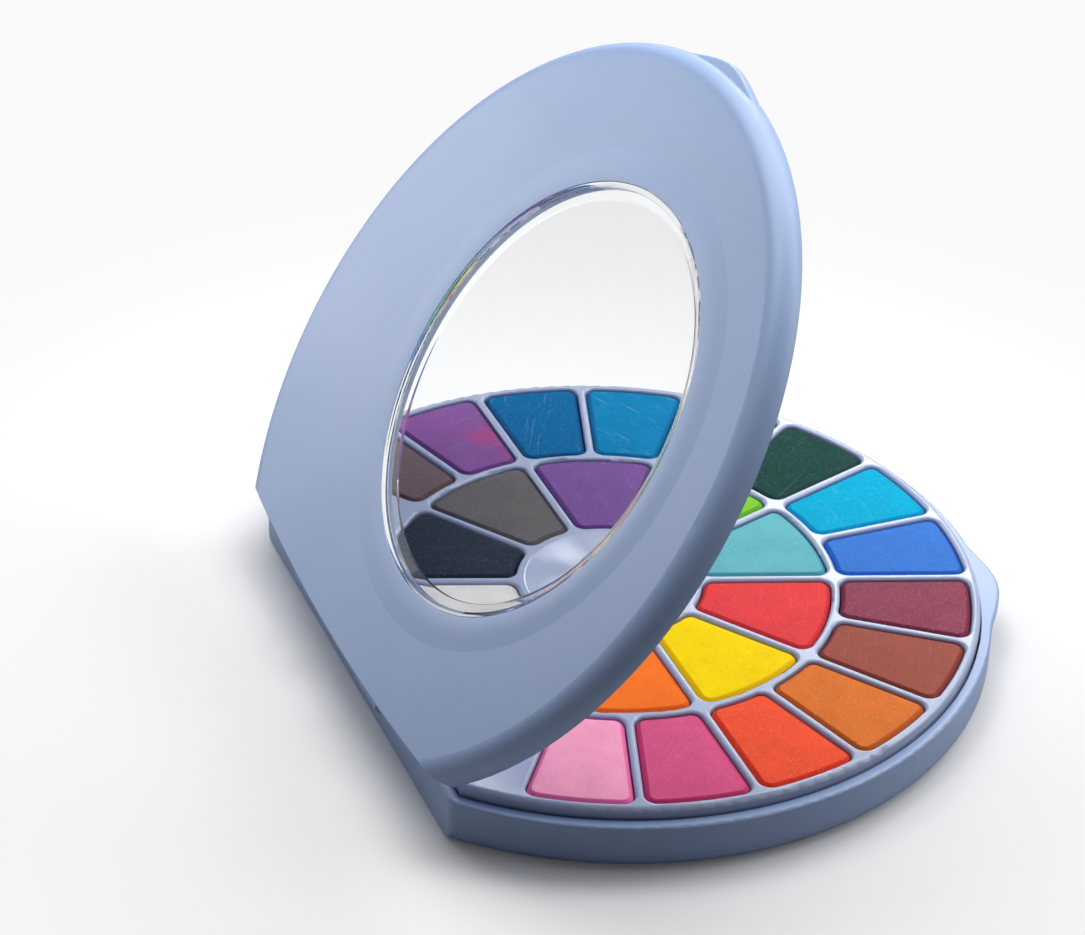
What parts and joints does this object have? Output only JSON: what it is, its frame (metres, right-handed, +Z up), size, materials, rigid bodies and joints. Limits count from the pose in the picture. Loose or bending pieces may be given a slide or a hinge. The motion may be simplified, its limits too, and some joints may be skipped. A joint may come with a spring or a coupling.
{
  "type": "watercolour paint box",
  "caption": "Round watercolour paint box with two rings of paint pans, a central mixing well and a hinged lid with an off-centre clear window.",
  "frame": {"origin": "middle of the round box on the flat underside of its base", "axes": "+Z up, +Y towards the straight hinge side, +X to the right when the thumb tabs face the viewer; the lid is stored standing open by 54 degrees"},
  "size_m": [0.16, 0.1424, 0.1267],
  "materials": {
    "body_plastic": "light periwinkle moulded plastic, softly satin",
    "tray_plastic": "light periwinkle moulded plastic, satin",
    "clear_plastic": "clear moulded plastic",
    "pin_steel": "drawn steel wire",
    "paint_white": "pressed watercolour cake, matt",
    "paint_graphite": "pressed watercolour cake, matt",
    "paint_orange": "pressed watercolour cake, matt",
    "paint_yellow": "pressed watercolour cake, matt",
    "paint_red": "pressed watercolour cake, matt",
    "paint_turquoise": "pressed watercolour cake, matt",
    "paint_light_green": "pressed watercolour cake, matt",
    "paint_purple": "pressed watercolour cake, matt",
    "paint_warm_grey": "pressed watercolour cake, matt",
    "paint_blue_black": "pressed watercolour cake, matt",
    "paint_pink": "pressed watercolour cake, matt",
    "paint_magenta": "pressed watercolour cake, matt",
    "paint_vermilion": "pressed watercolour cake, matt",
    "paint_ochre": "pressed watercolour cake, matt",
    "paint_red_brown": "pressed watercolour cake, matt",
    "paint_maroon": "pressed watercolour cake, matt",
    "paint_blue": "pressed watercolour cake, matt",
    "paint_cyan": "pressed watercolour cake, matt",
    "paint_dark_green": "pressed watercolour cake, matt",
    "paint_viridian": "pressed watercolour cake, matt",
    "paint_cerulean": "pressed watercolour cake, matt",
    "paint_deep_blue": "pressed watercolour cake, matt",
    "paint_violet": "pressed watercolour cake, matt",
    "paint_dark_brown": "pressed watercolour cake, matt"
  },
  "bodies": {
    "base": {"base_shell": "body_plastic", "pan_tray": "tray_plastic", "hinge_pin_left": "pin_steel", "hinge_pin_right": "pin_steel", "cake_white": "paint_white", "cake_graphite": "paint_graphite", "cake_orange": "paint_orange", "cake_yellow": "paint_yellow", "cake_red": "paint_red", "cake_turquoise": "paint_turquoise", "cake_light_green": "paint_light_green", "cake_purple": "paint_purple", "cake_warm_grey": "paint_warm_grey", "cake_blue_black": "paint_blue_black", "cake_pink": "paint_pink", "cake_magenta": "paint_magenta", "cake_vermilion": "paint_vermilion", "cake_ochre": "paint_ochre", "cake_red_brown": "paint_red_brown", "cake_maroon": "paint_maroon", "cake_blue": "paint_blue", "cake_cyan": "paint_cyan", "cake_dark_green": "paint_dark_green", "cake_viridian": "paint_viridian", "cake_cerulean": "paint_cerulean", "cake_deep_blue": "paint_deep_blue", "cake_violet": "paint_violet", "cake_dark_brown": "paint_dark_brown"},
    "lid": {"lid_shell": "body_plastic", "lid_window": "clear_plastic"}
  },
  "joints": [
    {"name": "lid_hinge", "type": "hinge", "parent": "base", "child": "lid", "pos_m": [0, 0.0594, 0.0124], "axis": [-1, 0, 0], "range_deg": [-54, 86]}
  ]
}
